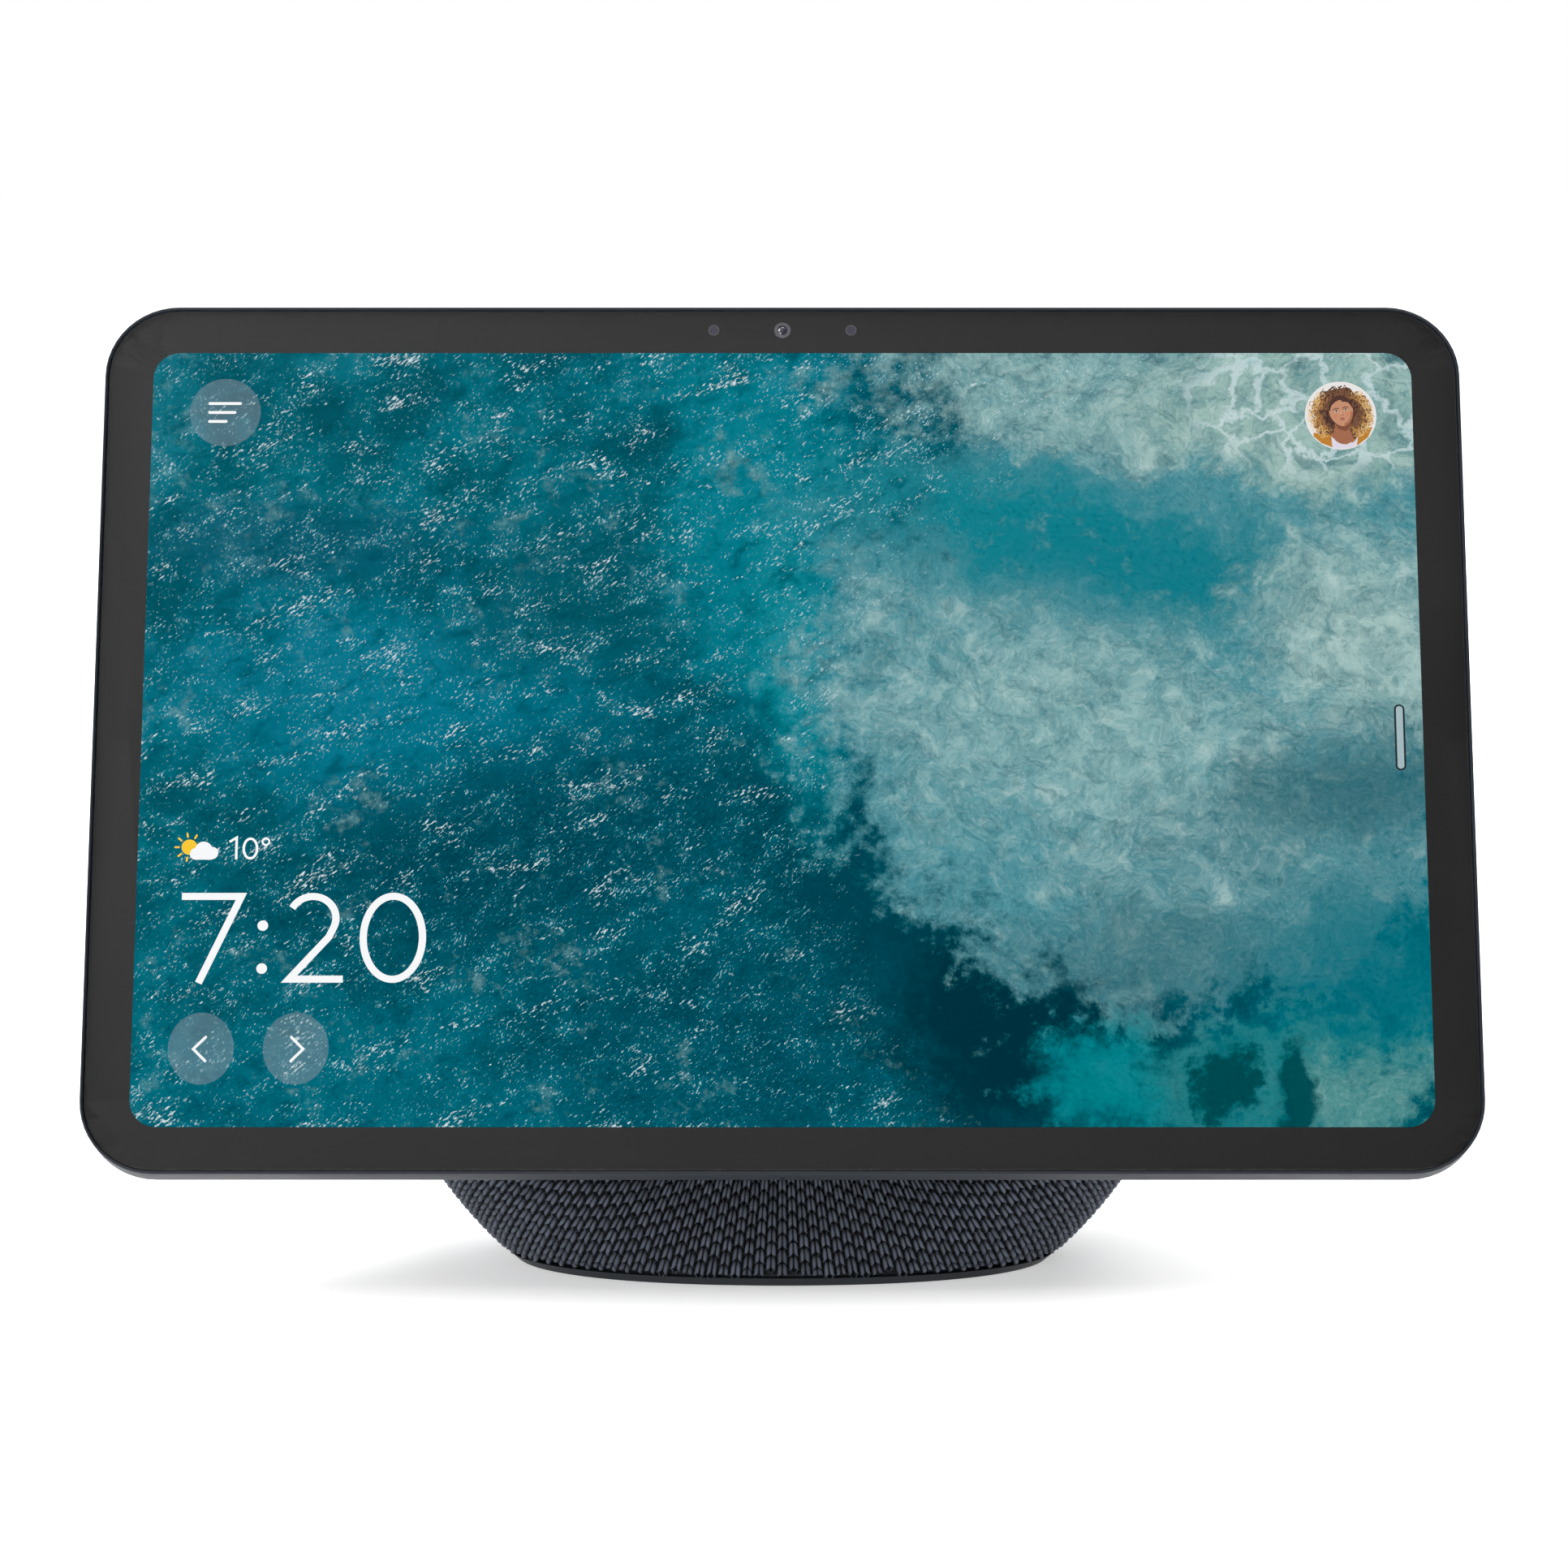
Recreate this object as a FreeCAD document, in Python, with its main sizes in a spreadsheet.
"""Smart display: a tilted touch display on a knit-covered loudspeaker pod.

Row frame: millimetres, +Z up, origin at the centre of the foot pad's underside, front faces -Y.
Three local frames carry the sub-parts, each with X to the right, Y backwards and Z upwards:
  display_frame  origin at the middle of the lit area's lower edge, tilted back by tilt_angle
  pod_frame      origin on the pod's axis, tilted alike; Y is the pod's axis of revolution
  ground_frame   the row frame
"""
import FreeCAD, Part
import math
import os

import Sketcher
from FreeCAD import Placement, Rotation, Vector

doc = FreeCAD.newDocument("smart_display")
sheet = doc.addObject("Spreadsheet::Sheet", "dims")

DIMENSIONS = {
    # where the tilted head and the pod stand
    "tilt_angle": 21.26,
    "screen_y": -49.35,
    "screen_lift": 34.57,
    "screen_middle": 73.7,
    # display head
    "head_wide": 253.7,
    "head_tall": 164.85,
    "head_corner": 13.5,
    "head_thick": 10.5,
    "frame_deep": 2.0,
    "frame_lip": 0.6,
    "seam_gap": 0.15,
    "skirt_inset": 1.75,
    "skirt_wall": 0.6,
    "skirt_deep": 1.2,
    "glass_thick": 1.1,
    "ink_thick": 0.1,
    "tape_thick": 0.3,
    "active_wide": 235.9,
    "active_tall": 147.4,
    "active_corner": 5.0,
    "cell_wide": 240.0,
    "cell_tall": 150.4,
    "cell_thick": 1.4,
    "backlight_thick": 2.0,
    "midframe_wide": 242.0,
    "midframe_tall": 154.0,
    "midframe_thick": 0.8,
    "midframe_start": 4.9,
    "shell_wall": 1.6,
    "shell_edge": 4.5,
    "fit_gap": 0.1,
    # camera, sensors and microphone
    "camera_height": 151.9,
    "camera_hole": 1.6,
    "camera_iris": 0.95,
    "sensor_offset": 12.9,
    "sensor_hole": 1.05,
    "sensor_rim": 0.85,
    "mic_hole": 0.55,
    "mic_depth": 4.7,
    # side keys, by the middle of each one's length
    "key_depth": 5.3,
    "key_wide": 2.2,
    "key_proud": 0.4,
    "key_flange": 0.6,
    "mute_middle": 124.9,
    "mute_long": 6.6,
    "volume_up_middle": 102.4,
    "volume_up_long": 10.2,
    "volume_down_middle": 90.35,
    "volume_down_long": 10.1,
    # pod, a body of revolution; insets count inwards from the knit's outside
    "pod_height": 45.89,
    "pod_radius": 79.88,
    "pod_middle": 50.4,
    "front_shoulder": 21.7,
    "rear_shoulder": 32.0,
    "pod_back": 94.4,
    "knit_thick": 1.8,
    "knit_front_opening": 47.0,
    "knit_back_opening": 36.5,
    "pod_shell_inset": 1.9,
    "pod_shell_inner": 4.4,
    "baffle_radius": 53.8,
    "trim_radius": 46.5,
    "cap_radius": 36.0,
    "cap_thick": 4.1,
    # neck
    "neck_rise": 28.0,
    "collar_wide": 52.0,
    "collar_tall": 30.0,
    "collar_corner": 13.0,
    "collar_wall": 1.6,
    "post_wide": 34.0,
    "post_tall": 18.0,
    "post_wall": 2.5,
    "flange_wide": 46.0,
    "flange_tall": 24.0,
    "flange_thick": 2.0,
    # base
    "ring_low": 0.3,
    "ring_high": 1.7,
    "plug_high": 3.4,
    "hem_height": 2.3,
    "pad_thick": 1.2,
    "ring_inset": 0.3,
    "plug_inset": 4.6,
    "pad_inset": 5.2,
    # woofer and full-range drivers
    "woofer_rise": -18.0,
    "woofer_opening": 23.0,
    "driver_depth": 58.0,
    "driver_opening": 13.0,
    # power inlet
    "inlet_radius": 5.2,
    "inlet_boss": 7.5,
    "inlet_deep": 4.2,
}


class Cells:
    """Writes numbers to the sheet, one row each, and gives back each cell's name in an expression."""

    rows = 0

    @classmethod
    def add(cls, alias, number):
        cls.rows += 1
        sheet.set(f"A{cls.rows}", alias)
        sheet.set(f"B{cls.rows}", str(number))
        sheet.setAlias(f"B{cls.rows}", alias)
        return f"dims.{alias}"


for cell_alias, cell_number in DIMENSIONS.items():
    Cells.add(cell_alias, cell_number)
doc.recompute()

subparts = []


def value(expression):
    """The number that an expression over the sheet's cells comes to."""
    result = sheet.evalExpression(str(expression))
    return float(getattr(result, "Value", result))


tilt = Rotation(Vector(1, 0, 0), -value("dims.tilt_angle"))
ground_frame = Placement()
display_frame = Placement(Vector(0, value("dims.screen_y"), value("dims.screen_lift")), tilt)
pod_frame = display_frame.multiply(Placement(Vector(0, 0, value("dims.pod_height")), Rotation()))
woofer_frame = pod_frame.multiply(Placement(Vector(0, 0, value("dims.woofer_rise")), Rotation()))
# local Y of a side frame runs outwards along the row's X
side_frames = {
    name: pod_frame.multiply(
        Placement(Vector(0, value("dims.driver_depth"), 0), Rotation(Vector(0, 0, 1), turn))
    )
    for name, turn in (("left", 90), ("right", -90))
}


def keep(item, label):
    """Makes an object a sub-part: its Label names its file."""
    item.Label = label
    subparts.append(item)
    return item


def cell_group(label, names, numbers):
    """Cells label_name for several numbers, as expressions."""
    group = [Cells.add(f"{label}_{name}", number) for name, number in zip(names, numbers)]
    sheet.recompute()
    return group


# ---------------------------------------------------------------- sketches

ROLES = {"front": "XZ_Plane", "side": "YZ_Plane", "top": "XY_Plane"}


def new_body(label, frame):
    body = doc.addObject("PartDesign::Body", label)
    body.Label = label
    body.Placement = frame
    return body


def new_sketch(body, facing, depth="0"):
    """A sketch on the body's origin plane, moved by depth along +Y (front), +X (side) or +Z (top)."""
    sketch = body.newObject("Sketcher::SketchObject", f"{body.Name}_outline")
    plane = next(f for f in body.Origin.OriginFeatures if f.Role == ROLES[facing])
    sketch.AttachmentSupport = [(plane, "")]
    sketch.MapMode = "FlatFace"
    sign = "-" if facing == "front" else ""
    sketch.setExpression("AttachmentOffset.Base.z", f"{sign}({depth})")
    return sketch


def constrain(sketch, kind, *places, expression=None):
    """Adds a constraint, and binds its value to the sheet where it has one."""
    if expression is None:
        sketch.addConstraint(Sketcher.Constraint(kind, *places))
        return
    index = sketch.addConstraint(Sketcher.Constraint(kind, *places, value(expression)))
    name = f"size{index}"
    sketch.renameConstraint(index, name)
    sketch.setExpression(f"Constraints.{name}", str(expression))


def place(sketch, geometry, point, across, up):
    """Fixes a point's two coordinates, each an expression, or None to leave it free."""
    for kind, axis, expression in (("DistanceX", -2, across), ("DistanceY", -1, up)):
        if expression is None:
            continue
        number = value(expression)
        if abs(number) < 1e-9:
            constrain(sketch, "PointOnObject", geometry, point, axis)
        elif number > 0:
            constrain(sketch, kind, -1, 1, geometry, point, expression=expression)
        else:
            constrain(sketch, kind, geometry, point, -1, 1, expression=f"-({expression})")


def draw_circle(sketch, radius, across="0", up="0"):
    centre = Vector(value(across), value(up), 0)
    index = sketch.addGeometry(Part.Circle(centre, Vector(0, 0, 1), value(radius)), False)
    constrain(sketch, "Radius", index, expression=radius)
    place(sketch, index, 3, across, up)


def draw_rounded_rectangle(sketch, width, height, radius, across="0", up="0"):
    """Four lines and four tangent corner arcs, drawn anticlockwise from the bottom line."""
    half_width = value(width) / 2
    half_height = value(height) / 2
    corner = value(radius)
    left, right = value(across) - half_width, value(across) + half_width
    low, high = value(up) - half_height, value(up) + half_height
    sides = [
        ((left + corner, low), (right - corner, low)),
        ((right, low + corner), (right, high - corner)),
        ((right - corner, high), (left + corner, high)),
        ((left, high - corner), (left, low + corner)),
    ]
    centres = [
        (right - corner, low + corner),
        (right - corner, high - corner),
        (left + corner, high - corner),
        (left + corner, low + corner),
    ]
    ids = []
    for turn, (side, centre) in enumerate(zip(sides, centres)):
        start, end = (Vector(*point, 0) for point in side)
        ids.append(sketch.addGeometry(Part.LineSegment(start, end), False))
        circle = Part.Circle(Vector(*centre, 0), Vector(0, 0, 1), corner)
        first = math.radians(90 * (turn - 1))
        ids.append(sketch.addGeometry(Part.ArcOfCircle(circle, first, first + math.pi / 2), False))
    for i, geometry in enumerate(ids):
        constrain(sketch, "Tangent", geometry, 2, ids[(i + 1) % 8], 1)
    for i, kind in ((0, "Horizontal"), (2, "Vertical"), (4, "Horizontal"), (6, "Vertical")):
        constrain(sketch, kind, ids[i])
    for i in (3, 5, 7):
        constrain(sketch, "Equal", ids[1], ids[i])
    constrain(sketch, "Radius", ids[1], expression=radius)
    place(sketch, ids[2], 1, f"{across} + ({width}) / 2", None)
    place(sketch, ids[6], 1, f"{across} - ({width}) / 2", None)
    place(sketch, ids[0], 1, None, f"{up} - ({height}) / 2")
    place(sketch, ids[4], 1, None, f"{up} + ({height}) / 2")


def draw_polygon(sketch, corners):
    """A closed outline of straight sides; corners are pairs of expressions."""
    points = [Vector(value(x), value(y), 0) for x, y in corners]
    ids = []
    for i, start in enumerate(points):
        end = points[(i + 1) % len(points)]
        ids.append(sketch.addGeometry(Part.LineSegment(start, end), False))
    for i, geometry in enumerate(ids):
        constrain(sketch, "Coincident", geometry, 2, ids[(i + 1) % len(ids)], 1)
        place(sketch, geometry, 1, *corners[i])


# ---------------------------------------------------------------- features

def pad(body, sketch, length):
    feature = body.newObject("PartDesign::Pad", f"{body.Name}_pad")
    feature.Profile = sketch
    feature.setExpression("Length", str(length))
    feature.Reversed = "XZ" in sketch.AttachmentSupport[0][0].Role
    sketch.Visibility = False
    return feature


def pocket(body, sketch, length, forwards=False):
    """Cuts from the sketch along +Y (front) or -X, -Z (side, top), and makes sure that it cut."""
    doc.recompute()
    before = body.Shape.Volume
    feature = body.newObject("PartDesign::Pocket", f"{body.Name}_pocket")
    feature.Profile = sketch
    feature.setExpression("Length", str(length))
    feature.Reversed = forwards
    doc.recompute()
    if not body.Shape.Volume < before - 1e-3:
        raise ValueError(f"a pocket in {body.Label} cuts nothing")
    return feature


def edges_on(shape, axis, level):
    """Names of the edges that lie in the plane where a local coordinate has a value."""
    found = []
    for i, edge in enumerate(shape.Edges, start=1):
        box = edge.BoundBox
        low, high = getattr(box, f"{axis}Min"), getattr(box, f"{axis}Max")
        if abs(low - level) < 1e-3 and abs(high - level) < 1e-3:
            found.append((f"Edge{i}", edge.Length))
    return found


def dress(body, kind, size, axis, level, outermost=False):
    """Fillets or chamfers the edges in one local plane of the body's last feature."""
    doc.recompute()
    tip = body.Tip
    found = edges_on(tip.Shape, axis, value(level))
    if outermost:
        half = value("dims.head_wide") / 2 - 1
        found = [item for item in found if far_out(tip.Shape.getElement(item[0]), half)]
    feature = body.newObject(f"PartDesign::{kind}", f"{body.Name}_{kind.lower()}")
    feature.Base = (tip, [name for name, _ in found])
    feature.setExpression("Radius" if kind == "Fillet" else "Size", str(size))
    doc.recompute()
    return feature


def far_out(edge, half_width):
    """Whether an edge lies on the head's outer outline, not on an opening inside it."""
    middle = edge.valueAt((edge.FirstParameter + edge.LastParameter) / 2)
    up = abs(middle.z - value("dims.screen_middle"))
    half_height = half_width + (value("dims.head_tall") - value("dims.head_wide")) / 2
    corner = value("dims.head_corner")
    return abs(middle.x) > half_width - corner / 2 or up > half_height - corner / 2


def plate(label, frame, depth, thick, width, height, corner, up, across="0"):
    """A flat body with a rounded-rectangle outline."""
    body = new_body(label, frame)
    sketch = new_sketch(body, "front", depth)
    draw_rounded_rectangle(sketch, width, height, corner, across, up)
    pad(body, sketch, thick)
    return body


def turned(label, frame, outline):
    """A body of revolution about the frame's Y axis; outline is (distance along Y, radius) pairs."""
    body = new_body(label, frame)
    names = [f"{kind}{i}" for i in range(1, len(outline) + 1) for kind in ("along", "out")]
    cells = cell_group(label, names, [number for corner in outline for number in corner])
    sketch = new_sketch(body, "side")
    draw_polygon(sketch, list(zip(cells[0::2], cells[1::2])))
    feature = body.newObject("PartDesign::Revolution", f"{label}_turn")
    feature.Profile = sketch
    feature.ReferenceAxis = (sketch, ["H_Axis"])
    feature.Angle = 360
    return body


def ring(label, frame, start, thick, outer, inner):
    """A flat ring about the frame's Y axis."""
    body = new_body(label, frame)
    names = ("start", "thick", "outer", "inner")
    start, thick, outer, inner = cell_group(label, names, (start, thick, outer, inner))
    sketch = new_sketch(body, "front", start)
    draw_circle(sketch, outer)
    draw_circle(sketch, inner)
    pad(body, sketch, thick)
    return body


def block(label, frame, size, low):
    """A box whose sizes are cells; low is its corner nearest the frame's origin side."""
    cells = cell_group(label, ("wide", "deep", "tall"), size)
    item = doc.addObject("Part::Box", label)
    for name, cell in zip(("Length", "Width", "Height"), cells):
        item.setExpression(name, cell)
    item.Placement = frame.multiply(Placement(Vector(*low), Rotation()))
    return item


def rod(label, frame, radius, start, end):
    """A cylinder of a cell's radius from one point to another."""
    radius, length = cell_group(label, ("radius", "long"), (radius, (Vector(*end) - Vector(*start)).Length))
    item = doc.addObject("Part::Cylinder", label)
    item.setExpression("Radius", radius)
    item.setExpression("Height", length)
    aim = Rotation(Vector(0, 0, 1), Vector(*end) - Vector(*start))
    item.Placement = frame.multiply(Placement(Vector(*start), aim))
    return item


def cut(base, *tools):
    """Cuts each tool from the base."""
    for tool in tools:
        feature = doc.addObject("Part::Cut", f"{base.Name}_cut")
        feature.Base = base
        feature.Tool = tool
        base = feature
    return base


def common(base, tool):
    feature = doc.addObject("Part::Common", f"{base.Name}_common")
    feature.Base = base
    feature.Tool = tool
    return feature


def fuse(*items):
    feature = doc.addObject("Part::MultiFuse", f"{items[0].Name}_fuse")
    feature.Shapes = list(items)
    return feature


def group(label, items):
    """Several alike solids as one sub-part."""
    feature = doc.addObject("Part::Compound", label)
    feature.Links = items
    return keep(feature, label)


# ---------------------------------------------------------------- display head

def inset(size, wall):
    return f"({size} - 2 * ({wall}))"


HEAD = ("dims.head_wide", "dims.head_tall", "dims.head_corner")
GLASS = tuple(f"({size} - {k} * dims.frame_lip)" for size, k in zip(HEAD, (2, 2, 1)))
SKIRT = tuple(f"({size} - {k} * dims.skirt_inset)" for size, k in zip(HEAD, (2, 2, 1)))
LEDGE = tuple(f"({size} - {k} * dims.skirt_wall)" for size, k in zip(SKIRT, (2, 2, 1)))
ACTIVE = ("dims.active_wide", "dims.active_tall", "dims.active_corner")
MIDDLE = "dims.screen_middle"
SENSOR_SIDES = {"left": "-dims.sensor_offset", "right": "dims.sensor_offset"}


def cut_outline(body, outline, depth, length):
    sketch = new_sketch(body, "front", depth)
    draw_rounded_rectangle(sketch, *outline, "0", MIDDLE)
    pocket(body, sketch, length)


def make_glass():
    body = plate("cover_glass", display_frame, "0", "dims.glass_thick", *GLASS, MIDDLE)
    dress(body, "Chamfer", "0.25", "Y", "0")
    keep(body, "cover_glass")


def make_ink():
    """The black border printed on the glass's back, with openings for the lit area and the sensors."""
    outline = tuple(f"({size} - {k} * 0.3)" for size, k in zip(GLASS, (2, 2, 1)))
    body = plate("bezel_mask", display_frame, "dims.glass_thick", "dims.ink_thick", *outline, MIDDLE)
    sketch = new_sketch(body, "front", "dims.glass_thick")
    draw_rounded_rectangle(sketch, *ACTIVE, "0", "dims.active_tall / 2")
    draw_circle(sketch, "dims.camera_hole", "0", "dims.camera_height")
    for side in SENSOR_SIDES.values():
        draw_circle(sketch, "dims.sensor_hole", side, "dims.camera_height")
    pocket(body, sketch, "dims.ink_thick")
    keep(body, "bezel_mask")


def make_tape():
    depth = "dims.glass_thick + dims.ink_thick"
    outline = tuple(f"({size} - {k} * 0.1)" for size, k in zip(GLASS, (2, 2, 1)))
    body = plate("glass_tape", display_frame, depth, "dims.tape_thick", *outline, MIDDLE)
    cut_outline(body, LEDGE, depth, "dims.tape_thick")
    keep(body, "glass_tape")


def make_panel_stack():
    depth = "dims.glass_thick + dims.ink_thick"
    cell = ("dims.cell_wide", "dims.cell_tall", "3")
    keep(plate("lcd_panel", display_frame, depth, "dims.cell_thick", *cell, MIDDLE), "lcd_panel")
    depth = f"{depth} + dims.cell_thick"
    light = plate("backlight_unit", display_frame, depth, "dims.backlight_thick", *cell, MIDDLE)
    keep(light, "backlight_unit")


def make_front_frame():
    """Slim rim flush round the glass, a ledge that the glass is taped to, and a skirt inside the shell."""
    body = plate("front_frame", display_frame, "0", "dims.frame_deep", *HEAD, MIDDLE)
    sketch = new_sketch(body, "front", "dims.frame_deep")
    draw_rounded_rectangle(sketch, *SKIRT, "0", MIDDLE)
    pad(body, sketch, "dims.skirt_deep")
    opening = tuple(f"({size} + {k} * dims.fit_gap)" for size, k in zip(GLASS, (2, 2, 1)))
    cut_outline(body, opening, "0", "dims.glass_thick + dims.ink_thick + dims.tape_thick")
    cut_outline(body, LEDGE, "0", "dims.frame_deep + dims.skirt_deep")
    dress(body, "Chamfer", "0.2", "Y", "0", outermost=True)
    keep(body, "front_frame")


KEYS = ("mute", "volume_up", "volume_down")


def make_rear_shell():
    """The tub behind the glass: rounded back edge, slots for the keys, neck opening, microphone hole."""
    start = "dims.frame_deep + dims.seam_gap"
    body = plate("rear_cover", display_frame, start, f"dims.head_thick - ({start})", *HEAD, MIDDLE)
    dress(body, "Fillet", "dims.shell_edge", "Y", "dims.head_thick")
    hollow = tuple(f"({size} - {k} * dims.shell_wall)" for size, k in zip(HEAD, (2, 2, 1)))
    cut_outline(body, hollow, start, f"dims.head_thick - dims.shell_wall - ({start})")
    neck = new_sketch(body, "front", "dims.head_thick - 2 * dims.shell_wall")
    opening = ("dims.post_wide + 0.4", "dims.post_tall + 0.4", "4.2")
    draw_rounded_rectangle(neck, *opening, "0", "dims.pod_height + dims.neck_rise")
    pocket(body, neck, "3 * dims.shell_wall")
    slots = new_sketch(body, "side", "dims.head_wide / 2 + 1")
    for key in KEYS:
        slot = ("dims.key_wide + 2 * dims.fit_gap", f"dims.{key}_long + 2 * dims.fit_gap", "1.1")
        draw_rounded_rectangle(slots, *slot, "dims.key_depth", f"dims.{key}_middle")
    pocket(body, slots, "4")
    low = "dims.screen_middle - dims.head_tall / 2"
    mic = new_sketch(body, "top", f"{low} - 1")
    draw_circle(mic, "dims.mic_hole", "0", "dims.mic_depth")
    pocket(body, mic, "3", forwards=True)
    keep(body, "rear_cover")


def make_midframe():
    body = plate(
        "midframe", display_frame, "dims.midframe_start", "dims.midframe_thick",
        "dims.midframe_wide", "dims.midframe_tall", "6", MIDDLE,
    )
    window = new_sketch(body, "front", "dims.midframe_start")
    draw_rounded_rectangle(window, "16", "3", "1", "0", "dims.pod_height + dims.neck_rise")
    for x, z in flange_corners():
        draw_circle(window, "0.9", x, f"dims.pod_height + {z}")
    pocket(body, window, "dims.midframe_thick")
    keep(body, "midframe")


def make_key(key):
    """A side key: rounded bar through the shell's slot, a flange that keeps it in, a stub to the switch."""
    body = new_body(f"{key}_button", display_frame)
    inner_wall = "dims.head_wide / 2 - dims.shell_wall"
    middle = f"dims.{key}_middle"
    wide, long = "dims.key_wide", f"dims.{key}_long"
    rim = "2 * dims.key_flange"
    steps = (
        (f"{inner_wall} - 1.2", "1.1", f"{wide} + {rim}", f"{long} + {rim}"),
        (f"{inner_wall} - 0.1", "dims.shell_wall + 0.1 + dims.key_proud", wide, long),
        (f"{inner_wall} - 1.9", "0.7", "2", "2"),
    )
    for depth, thick, across, along in steps:
        sketch = new_sketch(body, "side", depth)
        draw_rounded_rectangle(sketch, across, along, "0.95", "dims.key_depth", middle)
        pad(body, sketch, thick)
    doc.recompute()
    face = "dims.head_wide / 2 + dims.key_proud"
    feature = body.newObject("PartDesign::Fillet", f"{key}_edge")
    tip = [item for item in body.Group if item.TypeId == "PartDesign::Pad"][-1]
    feature.Base = (tip, [name for name, _ in edges_on(tip.Shape, "X", value(face))])
    feature.Radius = 0.25
    keep(body, f"{key}_button")


def make_switches():
    """Three tact switches on a flex strip inside the right-hand wall, a gap away from the key stubs."""
    inner_wall = value("dims.head_wide / 2 - dims.shell_wall")
    depth = value("dims.key_depth")
    travel_gap = 0.35
    switches = [
        block(f"{key}_switch", display_frame, (1.4, 2.0, 3.0),
              (inner_wall - 1.9 - travel_gap - 1.4, depth - 1.0, value(f"dims.{key}_middle") - 1.5))
        for key in KEYS
    ]
    strip = block("key_strip", display_frame, (0.25, 2.4, 46.0),
                  (inner_wall - 1.9 - travel_gap - 1.65, depth - 1.2, 84.0))
    group("side_key_flex", [strip, *switches])


def make_camera():
    height = value("dims.camera_height")
    behind_ink = value("dims.glass_thick + dims.ink_thick")
    camera_frame = display_frame.multiply(Placement(Vector(0, 0, height), Rotation()))
    bezel = ring("camera_ring", camera_frame, behind_ink - 0.08, 0.5,
                 value("dims.camera_hole") - 0.05, value("dims.camera_iris"))
    keep(bezel, "camera_ring")
    lens = turned("camera_lens", camera_frame, ((1.14, 0), (1.2, 0.5), (1.34, 0.88), (1.7, 0.88), (1.7, 0)))
    keep(lens, "camera_lens")
    module = block("camera_module", display_frame, (6.0, 2.8, 3.6), (-3.0, 1.75, height - 1.8))
    keep(module, "camera_module")
    rims = []
    windows = []
    for name, side in SENSOR_SIDES.items():
        x = value(side)
        frame = display_frame.multiply(Placement(Vector(x, 0, height), Rotation()))
        rims.append(ring(f"{name}_rim", frame, behind_ink - 0.09, 0.3,
                         value("dims.sensor_hole") - 0.02, value("dims.sensor_rim")))
        outline = ((1.12, 0), (1.12, 0.83), (1.45, 0.83), (1.45, 0))
        windows.append(turned(f"{name}_window", frame, outline))
    group("sensor_windows", windows)
    group("sensor_rims", rims)
    sensors = [
        block(f"{name}_sensor", display_frame, (3.0, 1.1, 3.0), (value(side) - 1.5, 1.55, height - 1.6))
        for name, side in SENSOR_SIDES.items()
    ]
    group("light_and_presence_sensors", sensors)


# blocks of the head: size (across, deep, tall) and low corner, in the display frame
HEAD_BLOCKS = {
    "microphone_board": ((8.0, 3.0, 1.0), (-4.0, 3.3, -6.9)),
    "main_board": ((112.0, 1.0, 46.0), (-64.0, 5.9, 95.0)),
    "shield_can": ((34.0, 1.2, 30.0), (-38.0, 6.9, 103.0)),
    "heat_spreader": ((96.0, 0.25, 42.0), (-58.0, 8.3, 97.0)),
}


def make_head_blocks():
    for label, (size, low) in HEAD_BLOCKS.items():
        keep(block(label, display_frame, size, low), label)
    antennas = [
        block(f"antenna{i}", display_frame, (34.0, 0.3, 7.0), (x, 6.2, 142.5))
        for i, x in enumerate((-105.0, 71.0))
    ]
    group("antennas", antennas)


# ---------------------------------------------------------------- neck

def flange_corners():
    """The four screw places on a bracket flange, from the pod's axis, as expressions."""
    return [(f"({x})", f"(dims.neck_rise + ({z}))") for x in (-19, 19) for z in (-7.5, 7.5)]


def make_bracket():
    """A hollow post with a flange at each end: one on the midframe, one on the pod's baffle."""
    start = "dims.midframe_start + dims.midframe_thick + 0.2"
    end = "dims.pod_middle - dims.front_shoulder + dims.pod_shell_inset"
    rise = "dims.neck_rise"
    flange = ("dims.flange_wide", "dims.flange_tall", "10")
    post = ("dims.post_wide", "dims.post_tall", "4")
    bore = (inset("dims.post_wide", "dims.post_wall"), inset("dims.post_tall", "dims.post_wall"), "1.5")
    body = new_body("mounting_bracket", pod_frame)
    steps = (
        (start, "dims.flange_thick", flange),
        (start, f"{end} - ({start})", post),
        (f"{end} - dims.flange_thick", "dims.flange_thick", flange),
    )
    for depth, thick, outline in steps:
        sketch = new_sketch(body, "front", depth)
        draw_rounded_rectangle(sketch, *outline, "0", rise)
        pad(body, sketch, thick)
    hollow = new_sketch(body, "front", start)
    draw_rounded_rectangle(hollow, *bore, "0", rise)
    for x, z in flange_corners():
        draw_circle(hollow, "1.2", x, z)
    pocket(body, hollow, f"{end} - ({start})")
    keep(body, "mounting_bracket")
    face = value(end)
    screws = []
    for i, (x, z) in enumerate(flange_corners()):
        x, z = value(x), value(z)
        shank = rod(f"neck_shank{i}", pod_frame, 1.2, (x, face - 2.0, z), (x, face + 6.0, z))
        head = rod(f"neck_head{i}", pod_frame, 2.2, (x, face - 3.4, z), (x, face - 2.0, z))
        screws.append(fuse(shank, head))
    group("neck_screws", screws)
    front = value(start)
    screws = []
    for i, (x, z) in enumerate(flange_corners()):
        x, z = value(x), value(z)
        shank = rod(f"head_shank{i}", pod_frame, 0.9, (x, front - 1.0, z), (x, front + 2.0, z))
        head = rod(f"head_head{i}", pod_frame, 1.9, (x, front + 2.0, z), (x, front + 2.7, z))
        screws.append(fuse(shank, head))
    group("midframe_screws", screws)


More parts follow.
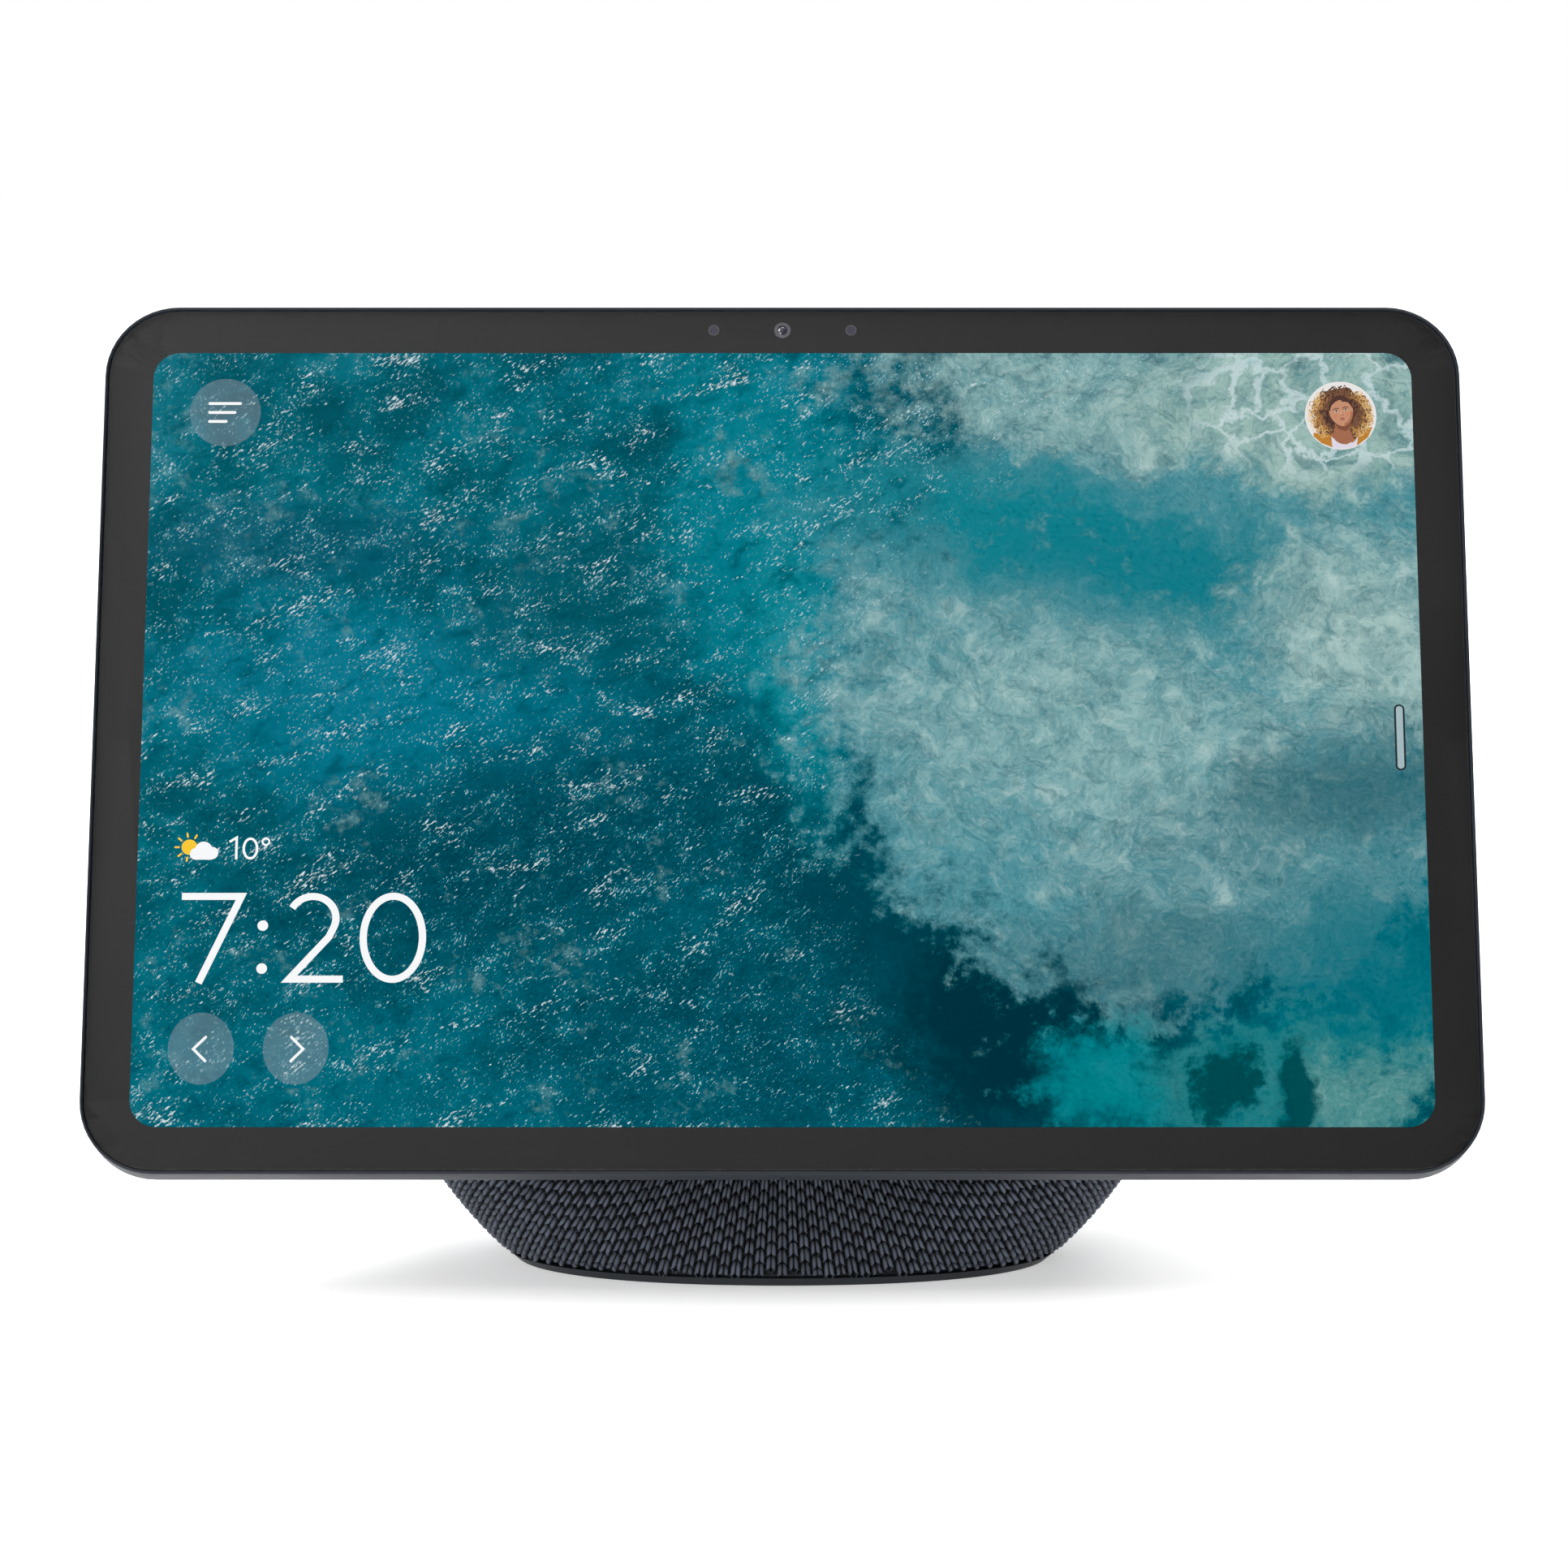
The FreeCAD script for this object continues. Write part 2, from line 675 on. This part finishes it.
def make_collar():
    """The plastic sleeve that hides the bracket between the head and the pod."""
    end = "dims.pod_middle - dims.front_shoulder + dims.pod_shell_inset"
    outline = ("dims.collar_wide", "dims.collar_tall", "dims.collar_corner")
    reach = f"{end} - dims.head_thick"
    body = plate("neck_collar", pod_frame, "dims.head_thick", reach, *outline, "dims.neck_rise")
    hollow = new_sketch(body, "front", "dims.head_thick")
    bore = tuple(f"({size} - {k} * dims.collar_wall)" for size, k in zip(outline, (2, 2, 1)))
    draw_rounded_rectangle(hollow, *bore, "0", "dims.neck_rise")
    pocket(body, hollow, f"{end} - dims.head_thick")
    keep(body, "neck_collar")
    level = value("dims.neck_rise") - 0.2
    ribbon = block("ribbon_cable", pod_frame, (12.0, 63.4, 0.35), (-6.0, 6.2, level))
    keep(ribbon, "ribbon_cable")


# ---------------------------------------------------------------- pod

def envelope(label, depth):
    """The pod as a solid of revolution, its surface moved inwards by depth.

    The section is a front face, a front shoulder arc up to the widest ring, a rear shoulder arc
    and a shallow dome arc tangent to it, closed along the axis.
    """
    depth, = cell_group(label, ("depth",), (depth,))
    middle, radius = value("dims.pod_middle"), value("dims.pod_radius")
    front, rear = value("dims.front_shoulder"), value("dims.rear_shoulder")
    back, inwards = value("dims.pod_back"), value(depth)
    # the dome arc's centre is on the axis, and the two rear arcs share a tangent
    short, reach = radius - rear, back - middle - rear
    stretch = (short**2 + reach**2) / (-2 * reach) if reach < 0 else (short**2 + reach**2) / (2 * reach)
    dome_centre = back - rear - stretch
    meet = math.atan2(short, middle - dome_centre)
    face = middle - front + inwards
    body = new_body(label, pod_frame)
    sketch = new_sketch(body, "side")
    normal = Vector(0, 0, 1)
    tip = Vector(back - inwards, 0, 0)
    dome_circle = Part.Circle(Vector(dome_centre, 0, 0), normal, back - dome_centre - inwards)
    rear_circle = Part.Circle(Vector(middle, short, 0), normal, rear - inwards)
    front_circle = Part.Circle(Vector(middle, radius - front, 0), normal, front - inwards)
    arcs = (
        Part.ArcOfCircle(dome_circle, 0, meet),
        Part.ArcOfCircle(rear_circle, meet, math.pi / 2),
        Part.ArcOfCircle(front_circle, math.pi / 2, math.pi),
    )
    dome, rear_arc, front_arc = (sketch.addGeometry(arc, False) for arc in arcs)
    wall = sketch.addGeometry(Part.LineSegment(Vector(face, radius - front, 0), Vector(face, 0, 0)), False)
    axis = sketch.addGeometry(Part.LineSegment(Vector(face, 0, 0), tip), False)
    for first, second in ((dome, rear_arc), (rear_arc, front_arc), (front_arc, wall)):
        constrain(sketch, "Tangent", first, 2, second, 1)
    constrain(sketch, "Coincident", wall, 2, axis, 1)
    constrain(sketch, "Coincident", axis, 2, dome, 1)
    constrain(sketch, "Radius", front_arc, expression=f"dims.front_shoulder - {depth}")
    constrain(sketch, "Radius", rear_arc, expression=f"dims.rear_shoulder - {depth}")
    place(sketch, front_arc, 3, "dims.pod_middle", "dims.pod_radius - dims.front_shoulder")
    place(sketch, rear_arc, 3, "dims.pod_middle", None)
    place(sketch, dome, 3, None, "0")
    place(sketch, axis, 1, None, "0")
    place(sketch, axis, 2, f"dims.pod_back - {depth}", "0")
    feature = body.newObject("PartDesign::Revolution", f"{label}_turn")
    feature.Profile = sketch
    feature.ReferenceAxis = (sketch, ["H_Axis"])
    feature.Angle = 360
    return body


BIG = 240.0


def slab(label, low, high):
    """Everything between two heights above the ground."""
    item = doc.addObject("Part::Box", label)
    item.Length = BIG
    item.Width = BIG
    item.setExpression("Height", f"{high} - ({low})")
    item.Placement = Placement(Vector(-BIG / 2, -BIG / 2, value(low)), Rotation())
    return item


def core(label, radius, start, end):
    """A cylinder about the pod's axis."""
    item = doc.addObject("Part::Cylinder", label)
    item.setExpression("Radius", radius)
    item.Height = value(f"{end} - ({start})")
    item.Placement = pod_frame.multiply(
        Placement(Vector(0, value(start), 0), Rotation(Vector(1, 0, 0), -90))
    )
    return item


def side_core(label, side, radius, start, end):
    """A cylinder that runs outwards along a full-range driver's axis."""
    item = doc.addObject("Part::Cylinder", label)
    item.setExpression("Radius", radius)
    item.Height = end - start
    item.Placement = side_frames[side].multiply(
        Placement(Vector(0, start, 0), Rotation(Vector(1, 0, 0), -90))
    )
    return item


FACE = "dims.pod_middle - dims.front_shoulder"


def make_knit():
    shell = cut(
        envelope("knit_outside", 0.0),
        envelope("knit_inside", DIMENSIONS["knit_thick"]),
        core("knit_front", "dims.knit_front_opening", "0", "dims.pod_middle"),
        core("knit_back", "dims.knit_back_opening", "dims.pod_middle", "dims.pod_back + 20"),
        slab("knit_ground", "-150", "dims.hem_height"),
    )
    keep(shell, "fabric_sleeve")


def lugs(label, start, end):
    """Four blocks inside the shell's wall that the shell screws pass through."""
    reach = value("dims.pod_radius")
    boxes = []
    for i, (x, z) in enumerate(LUG_DIRECTIONS):
        turn = math.degrees(math.atan2(x, z))
        item = doc.addObject("Part::Box", f"{label}{i}")
        item.Length = 9.0
        item.setExpression("Width", f"{end} - ({start})")
        item.Height = reach - LUG_RADIUS + 5
        spin = Placement(Vector(0, 0, 0), Rotation(Vector(0, 1, 0), turn))
        item.Placement = pod_frame.multiply(spin).multiply(
            Placement(Vector(-4.5, value(start), LUG_RADIUS - 5), Rotation())
        )
        boxes.append(item)
    return fuse(*boxes)


LUG_RADIUS = 68.0
LUG_DIRECTIONS = [(x, z) for x in (-1, 1) for z in (-1, 1)]


def make_pod_shells():
    """Two moulded halves that meet at the widest ring, open at the front, the back and the ground."""
    outside = envelope("shell_outside", DIMENSIONS["pod_shell_inset"])
    inside = envelope("shell_inside", DIMENSIONS["pod_shell_inner"])
    wall = cut(
        outside,
        inside,
        core("baffle_opening", "dims.baffle_radius + dims.fit_gap", "0", "dims.pod_middle"),
        core("cap_opening", "dims.cap_radius + dims.fit_gap", "dims.pod_middle", "dims.pod_back + 20"),
    )
    lug_limit = envelope("lug_limit", DIMENSIONS["pod_shell_inset"] + 1.0)
    halves = {
        "pod_front_shell": ("0", "dims.pod_middle", "dims.pod_middle - 5"),
        "pod_rear_shell": ("dims.pod_middle", "dims.pod_back + 20", "dims.pod_middle + 5"),
    }
    ground = slab("shell_ground", "-150", "dims.ring_high + 0.05")
    ports = [side_core(f"{side}_port", side, "dims.driver_opening", 60, 95) for side in side_frames]
    holes = [
        rod(f"lug_hole{i}", pod_frame, 1.25, (x * LUG_RADIUS / 2**0.5, 40, z * LUG_RADIUS / 2**0.5),
            (x * LUG_RADIUS / 2**0.5, 60, z * LUG_RADIUS / 2**0.5))
        for i, (x, z) in enumerate(LUG_DIRECTIONS)
    ]
    for label, (start, end, lug_end) in halves.items():
        side = common(wall, core(f"{label}_half", "dims.pod_radius + 5", start, end))
        ends = (lug_end, "dims.pod_middle") if "front" in label else ("dims.pod_middle", lug_end)
        lug = common(lugs(f"{label}_lug", *ends), lug_limit)
        keep(cut(fuse(side, lug), ground, *ports, *holes), label)


def make_shell_screws():
    middle = value("dims.pod_middle")
    screws = []
    for i, (x, z) in enumerate(LUG_DIRECTIONS):
        x, z = x * LUG_RADIUS / 2**0.5, z * LUG_RADIUS / 2**0.5
        shank = rod(f"shell_shank{i}", pod_frame, 1.25, (x, middle - 4.5, z), (x, middle + 5.0, z))
        head = rod(f"shell_head{i}", pod_frame, 2.4, (x, middle + 5.0, z), (x, middle + 6.8, z))
        screws.append(fuse(shank, head))
    group("shell_screws", screws)


def make_baffle():
    """The plate that closes the pod's front and carries the bracket and the woofer."""
    body = new_body("front_baffle", pod_frame)
    start = f"{FACE} + dims.pod_shell_inset"
    disc = new_sketch(body, "front", start)
    draw_circle(disc, "dims.baffle_radius")
    pad(body, disc, "3")
    holes = new_sketch(body, "front", start)
    draw_circle(holes, "dims.woofer_opening", "0", "dims.woofer_rise")
    draw_rounded_rectangle(holes, "14", "4", "1.5", "0", "dims.neck_rise")
    for x, z in flange_corners():
        draw_circle(holes, "1.2", x, z)
    for x, z in woofer_screw_places():
        draw_circle(holes, "1.1", str(x), f"dims.woofer_rise + ({z})")
    pocket(body, holes, "3")
    keep(body, "front_baffle")


SLOT_COUNT = 9
SLOT_STEP = 4.6


def make_trim_disc():
    """The visible disc behind the head, which ends the knit, with a slotted grille over the woofer."""
    body = new_body("front_trim_disc", pod_frame)
    start = f"{FACE} - 0.6"
    disc = new_sketch(body, "front", start)
    draw_circle(disc, "dims.trim_radius")
    pad(body, disc, "2.4")
    holes = new_sketch(body, "front", start)
    collar = ("dims.collar_wide + 0.4", "dims.collar_tall + 0.4", "dims.collar_corner + 0.2")
    draw_rounded_rectangle(holes, *collar, "0", "dims.neck_rise")
    reach = value("dims.woofer_opening")
    for i in range(SLOT_COUNT):
        across = (i - (SLOT_COUNT - 1) / 2) * SLOT_STEP
        tall = 2 * math.sqrt(reach**2 - across**2)
        draw_rounded_rectangle(holes, "2.2", f"{tall:.2f}", "1.05", f"({across:.2f})", "dims.woofer_rise")
    pocket(body, holes, "2.4")
    keep(body, "front_trim_disc")


def make_rear_cap():
    """The disc that ends the knit at the back, following the dome, with the power inlet's boss."""
    skin = cut(envelope("cap_outside", 0.3), envelope("cap_inside", 0.3 + DIMENSIONS["cap_thick"]))
    disc = common(skin, core("cap_disc", "dims.cap_radius", "dims.pod_middle", "dims.pod_back + 20"))
    mouth = "dims.pod_back - 0.1"
    boss = core("inlet_boss", "dims.inlet_boss", f"{mouth} - dims.inlet_deep", mouth)
    bore = core("inlet_bore", "dims.inlet_radius", f"{mouth} - 2 * dims.inlet_deep", "dims.pod_back + 20")
    keep(cut(fuse(disc, boss), bore), "rear_cap")


def make_base():
    """The dark ring on the ground, its plug inside the shell, the rubber foot pad and the ballast."""
    ring_slab = slab("ring_slab", "dims.ring_low", "dims.ring_high")
    ring_solid = common(envelope("ring_outside", DIMENSIONS["ring_inset"]), ring_slab)
    plug_slab = slab("plug_slab", "dims.ring_low", "dims.plug_high")
    plug = common(envelope("plug_outside", DIMENSIONS["plug_inset"]), plug_slab)
    recess_slab = slab("recess_slab", "-1", "dims.pad_thick")
    recess = common(envelope("recess_outside", DIMENSIONS["pad_inset"] - 0.2), recess_slab)
    places = [(x, y) for x in (-26, 26) for y in (-11, 11)]
    bores = [
        rod(f"base_bore{i}", ground_frame, 1.2, (x, y, 1.0), (x, y, 9.5)) for i, (x, y) in enumerate(places)
    ]
    sinks = [
        rod(f"base_sink{i}", ground_frame, 2.7, (x, y, 1.0), (x, y, 2.4)) for i, (x, y) in enumerate(places)
    ]
    keep(cut(fuse(ring_solid, plug), recess, *bores, *sinks), "base_ring")
    pad_slab = slab("pad_slab", "0", "dims.pad_thick")
    pad_solid = common(envelope("pad_outside", DIMENSIONS["pad_inset"]), pad_slab)
    keep(pad_solid, "foot_pad")
    ballast = block("ballast_block", ground_frame, (66.0, 32.0, 8.0), (-33.0, -15.0, 3.45))
    keep(cut(ballast, *bores), "ballast_weight")
    screws = []
    for i, (x, y) in enumerate(places):
        shank = rod(f"base_shank{i}", ground_frame, 1.2, (x, y, 2.3), (x, y, 9.0))
        head = rod(f"base_head{i}", ground_frame, 2.6, (x, y, 1.25), (x, y, 2.35))
        screws.append(fuse(shank, head))
    group("base_screws", screws)


# ---------------------------------------------------------------- woofer, drivers, power

def woofer_screw_places():
    reach = 26.6 / 2**0.5
    return [(x * reach, z * reach) for x in (-1, 1) for z in (-1, 1)]


# turned outlines about the woofer's axis, as (distance behind the screen plane, radius)
WOOFER_PARTS = {
    "woofer_yoke": ((51.2, 0), (51.2, 6.6), (61.2, 6.6), (61.2, 20), (63.4, 20), (63.4, 0)),
    "woofer_voice_coil": ((45.0, 7.1), (45.0, 7.9), (57.5, 7.9), (57.5, 7.1)),
    "woofer_cone": ((45.0, 7.95), (36.6, 20.8), (37.3, 20.8), (45.8, 7.95)),
    "woofer_dust_cap": ((42.9, 0), (43.3, 4.0), (44.9, 7.05), (45.5, 7.05), (43.9, 4.0), (43.5, 0)),
    "woofer_surround": (
        (36.7, 20.85), (34.9, 21.5), (34.9, 22.4), (35.2, 22.9),
        (35.6, 22.9), (35.4, 22.3), (35.4, 21.8), (37.2, 20.85),
    ),
    "woofer_spider": ((48.1, 8.0), (48.1, 16.9), (48.5, 16.9), (48.5, 8.0)),
}
WOOFER_BASKET = (
    (33.6, 23.1), (33.6, 28.5), (35.6, 28.5), (35.6, 24.5), (51.2, 17.5),
    (51.2, 12.5), (50.0, 12.5), (50.0, 16.4), (35.4, 23.1),
)
DRIVER_PARTS = {
    "frame": (
        (60.0, 12.4), (60.0, 16.0), (58.4, 16.0), (58.4, 13.6), (50.0, 10.4),
        (48.8, 10.4), (48.8, 6.5), (50.0, 6.5), (50.0, 9.2), (58.6, 12.4),
    ),
    "magnet": (
        (48.8, 0), (48.8, 4.2), (42.0, 4.2), (42.0, 5.8),
        (48.8, 5.8), (48.8, 10), (40.0, 10), (40.0, 0),
    ),
    "cone": (
        (43.4, 4.6), (43.4, 5.2), (51.4, 5.2), (56.8, 10.6), (57.4, 10.6),
        (52.4, 4.8), (53.2, 0), (52.6, 0), (51.8, 4.6),
    ),
    "surround": ((57.0, 10.65), (57.5, 10.65), (58.7, 11.4), (59.0, 12.35), (58.62, 12.35), (58.2, 11.7)),
}

DRIVER_MOVING = ("cone", "surround")


def make_woofer():
    for label, outline in WOOFER_PARTS.items():
        keep(turned(label, woofer_frame, outline), label)
    keep(ring("woofer_top_plate", woofer_frame, 51.2, 2.0, 20.0, 8.4), "woofer_top_plate")
    keep(ring("woofer_magnet", woofer_frame, 53.2, 8.0, 20.0, 9.5), "woofer_magnet")
    holes = [
        rod(f"basket_hole{i}", woofer_frame, 1.1, (x, 30.0, z), (x, 36.0, z))
        for i, (x, z) in enumerate(woofer_screw_places())
    ]
    basket = turned("basket_turned", woofer_frame, WOOFER_BASKET)
    keep(cut(basket, *holes), "woofer_basket")
    screws = []
    for i, (x, z) in enumerate(woofer_screw_places()):
        shank = rod(f"woofer_shank{i}", woofer_frame, 1.1, (x, 31.2, z), (x, 35.7, z))
        head = rod(f"woofer_head{i}", woofer_frame, 1.8, (x, 35.65, z), (x, 36.8, z))
        screws.append(fuse(shank, head))
    group("woofer_screws", screws)


def make_drivers():
    """A full-range driver on each side, and the tube that joins it to its opening in the shell."""
    tubes = []
    still = {name: [] for name in DRIVER_PARTS if name not in DRIVER_MOVING}
    for side, frame in side_frames.items():
        for name, outline in DRIVER_PARTS.items():
            label = f"{side}_driver_{name}"
            piece = turned(label, frame, outline)
            if name in DRIVER_MOVING:
                keep(piece, label)
            else:
                still[name].append(piece)
        tube = cut(
            common(side_core(f"{side}_tube", side, "16", 60.0, 95.0), envelope(f"{side}_tube_limit", 4.5)),
            side_core(f"{side}_tube_bore", side, "dims.driver_opening", 55.0, 96.0),
        )
        tubes.append(tube)
    for name, pieces in still.items():
        group(f"driver_{name}s", pieces)
    group("driver_tubes", tubes)


def make_power():
    jack = doc.addObject("Part::Box", "jack_block")
    jack.Length, jack.Width, jack.Height = 10.0, 9.0, 10.0
    mouth = value("dims.pod_back - 0.1 - dims.inlet_deep") - 0.4
    jack.Placement = pod_frame.multiply(Placement(Vector(-5, mouth - 9.0, -5), Rotation()))
    socket = rod("jack_socket", pod_frame, 2.8, (0, mouth - 7.5, 0), (0, mouth, 0))
    pin = rod("jack_pin", pod_frame, 0.85, (0, mouth - 8.0, 0), (0, mouth - 1.0, 0))
    keep(fuse(cut(jack, socket), pin), "power_jack")
    keep(block("power_board", pod_frame, (50.0, 1.6, 60.0), (-25.0, 70.0, -28.0)), "power_board")
    keep(block("amplifier_shield", pod_frame, (30.0, 3.0, 18.0), (-15.0, 71.6, 9.0)), "amplifier_shield")
    leads = [
        rod(f"power_lead{i}", pod_frame, 0.7, (x, 71.6, 0), (x, mouth - 9.0, 0))
        for i, x in enumerate((-2, 2))
    ]
    leads.append(rod("woofer_lead", pod_frame, 0.7, (0, 63.4, -18), (0, 70.0, -18)))
    for side in (-1, 1):
        near, far = (side * 22.0, 69.3, 0), (side * 39.0, 60.0, 0)
        leads.append(rod(f"driver_lead{side + 1}", pod_frame, 0.7, near, far))
    group("internal_leads", leads)


make_glass()
make_ink()
make_tape()
make_panel_stack()
make_front_frame()
make_rear_shell()
make_midframe()
for key_name in KEYS:
    make_key(key_name)
make_switches()
make_camera()
make_head_blocks()
make_bracket()
make_collar()
make_knit()
make_pod_shells()
make_shell_screws()
make_baffle()
make_trim_disc()
make_rear_cap()
make_base()
make_woofer()
make_drivers()
make_power()
doc.recompute()

for item in doc.Objects:
    if "Invalid" in item.State or "Error" in item.State:
        raise ValueError(f"{item.Label} failed: {item.State}")

os.makedirs("parts", exist_ok=True)
for item in subparts:
    if item.Shape.isNull() or not item.Shape.isValid():
        raise ValueError(f"{item.Label} has no valid shape")
    item.Shape.exportStep(f"parts/{item.Label}.step")
    print(f"{item.Label}: {len(item.Shape.Solids)} solid(s), {item.Shape.Volume:.1f} mm3")
print(len(subparts), "sub-parts")
